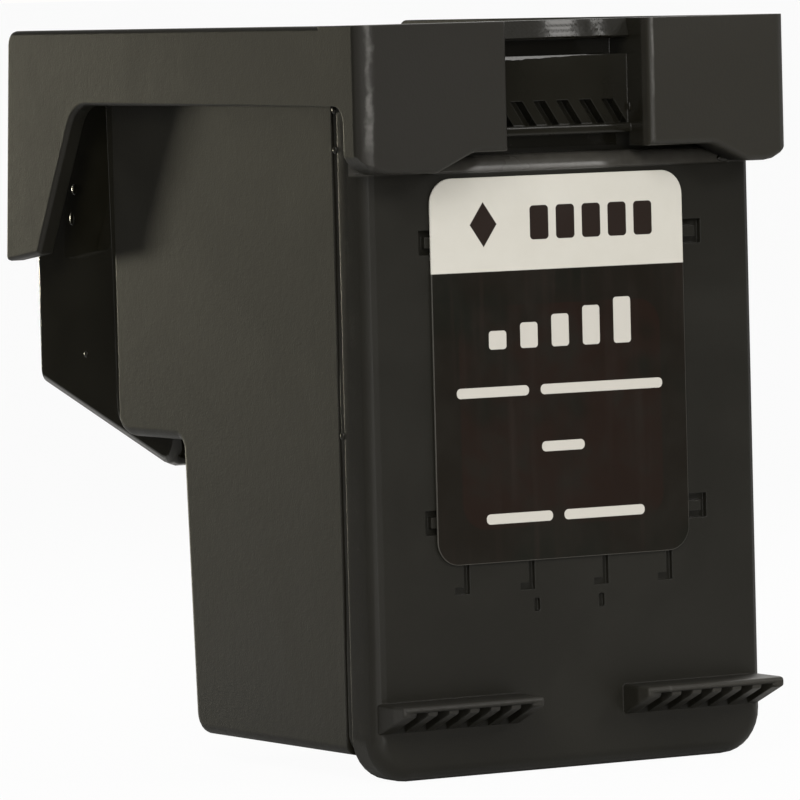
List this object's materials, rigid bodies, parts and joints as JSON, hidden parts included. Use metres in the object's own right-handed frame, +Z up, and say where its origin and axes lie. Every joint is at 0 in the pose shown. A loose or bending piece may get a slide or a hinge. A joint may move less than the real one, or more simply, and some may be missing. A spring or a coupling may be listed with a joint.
{
  "type": "inkjet ink cartridge",
  "caption": "Black inkjet cartridge with a built-in printhead: stepped reservoir, collared lid with finger ridges and latch notch, contact deck and two-tone label.",
  "frame": {"origin": "centre of the cartridge's footprint, at the level of the lid's lower edge", "axes": "+Z up towards the contact end, -Y out of the label, +Y out of the nozzles, +X to the right when the label is faced"},
  "size_m": [0.0368, 0.058, 0.0551],
  "materials": {
    "body_plastic": "black, fine moulded satin",
    "lid_plastic": "black, fine moulded satin with polished notch and shoulder",
    "label_print": "printed adhesive label, white band over a dark field, faint sheen",
    "inked_foam": "open-cell foam soaked with black ink",
    "steel_mesh": "fine woven stainless screen",
    "silicon": "polished silicon chip",
    "nozzle_plate": "gold-plated nickel foil",
    "amber_film": "amber polyimide film with gold-plated copper pads",
    "encapsulant": "dark epoxy bead"
  },
  "bodies": {
    "root": {"reservoir_body": "body_plastic", "lid": "lid_plastic", "label": "label_print", "foam_block": "inked_foam", "filter_screen": "steel_mesh", "printhead_die": "silicon", "nozzle_plate": "nozzle_plate", "flex_circuit": "amber_film", "encapsulant_bead_lower": "encapsulant", "encapsulant_bead_upper": "encapsulant"}
  },
  "joints": []
}
